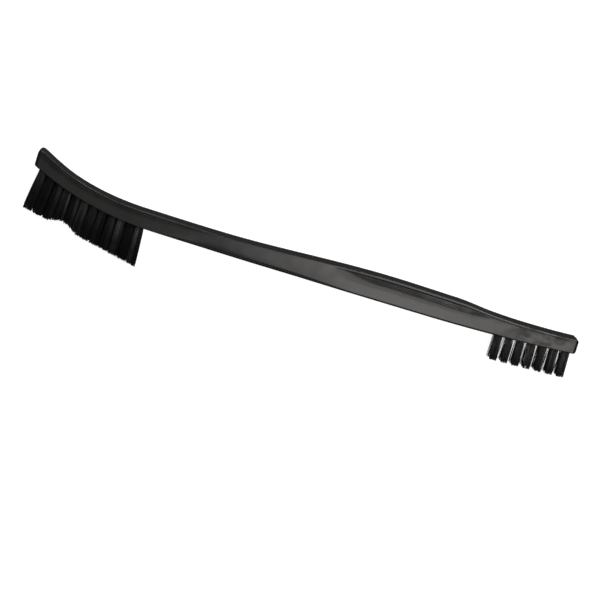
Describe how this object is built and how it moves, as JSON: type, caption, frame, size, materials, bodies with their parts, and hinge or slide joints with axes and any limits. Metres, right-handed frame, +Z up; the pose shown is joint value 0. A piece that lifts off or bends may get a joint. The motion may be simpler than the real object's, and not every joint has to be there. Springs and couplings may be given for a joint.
{
  "type": "car cleaning brush",
  "caption": "Slim double-ended plastic cleaning brush: a large bent head with long nylon bristles at one end, a small straight head with short ones at the other.",
  "frame": {"origin": "under the middle of the whole brush, on the surface that its side lies on", "axes": "+X along the handle from the large head's toe to the small head's tip, +Y from the bristles to the back, +Z up, across the handle's width"},
  "size_m": [0.18, 0.0268, 0.011],
  "materials": {
    "handle_plastic": "moulded black polypropylene, semi-matt, with faint flow marks",
    "bristle_nylon": "black nylon filament, satin"
  },
  "bodies": {
    "root": {"handle": "handle_plastic", "large_tuft_row1_01": "bristle_nylon", "large_tuft_row1_02": "bristle_nylon", "large_tuft_row1_03": "bristle_nylon", "large_tuft_row1_04": "bristle_nylon", "large_tuft_row1_05": "bristle_nylon", "large_tuft_row1_06": "bristle_nylon", "large_tuft_row1_07": "bristle_nylon", "large_tuft_row1_08": "bristle_nylon", "large_tuft_row1_09": "bristle_nylon", "large_tuft_row1_10": "bristle_nylon", "large_tuft_row1_11": "bristle_nylon", "large_tuft_row1_12": "bristle_nylon", "large_tuft_row2_01": "bristle_nylon", "large_tuft_row2_02": "bristle_nylon", "large_tuft_row2_03": "bristle_nylon", "large_tuft_row2_04": "bristle_nylon", "large_tuft_row2_05": "bristle_nylon", "large_tuft_row2_06": "bristle_nylon", "large_tuft_row2_07": "bristle_nylon", "large_tuft_row2_08": "bristle_nylon", "large_tuft_row2_09": "bristle_nylon", "large_tuft_row2_10": "bristle_nylon", "large_tuft_row2_11": "bristle_nylon", "large_tuft_row3_01": "bristle_nylon", "large_tuft_row3_02": "bristle_nylon", "large_tuft_row3_03": "bristle_nylon", "large_tuft_row3_04": "bristle_nylon", "large_tuft_row3_05": "bristle_nylon", "large_tuft_row3_06": "bristle_nylon", "large_tuft_row3_07": "bristle_nylon", "large_tuft_row3_08": "bristle_nylon", "large_tuft_row3_09": "bristle_nylon", "large_tuft_row3_10": "bristle_nylon", "large_tuft_row3_11": "bristle_nylon", "large_tuft_row3_12": "bristle_nylon", "small_tuft_row1_01": "bristle_nylon", "small_tuft_row1_02": "bristle_nylon", "small_tuft_row1_03": "bristle_nylon", "small_tuft_row1_04": "bristle_nylon", "small_tuft_row1_05": "bristle_nylon", "small_tuft_row1_06": "bristle_nylon", "small_tuft_row1_07": "bristle_nylon", "small_tuft_row2_01": "bristle_nylon", "small_tuft_row2_02": "bristle_nylon", "small_tuft_row2_03": "bristle_nylon", "small_tuft_row2_04": "bristle_nylon", "small_tuft_row2_05": "bristle_nylon", "small_tuft_row2_06": "bristle_nylon", "small_tuft_row2_07": "bristle_nylon", "small_tuft_row3_01": "bristle_nylon", "small_tuft_row3_02": "bristle_nylon", "small_tuft_row3_03": "bristle_nylon", "small_tuft_row3_04": "bristle_nylon", "small_tuft_row3_05": "bristle_nylon", "small_tuft_row3_06": "bristle_nylon", "small_tuft_row3_07": "bristle_nylon"}
  },
  "joints": []
}
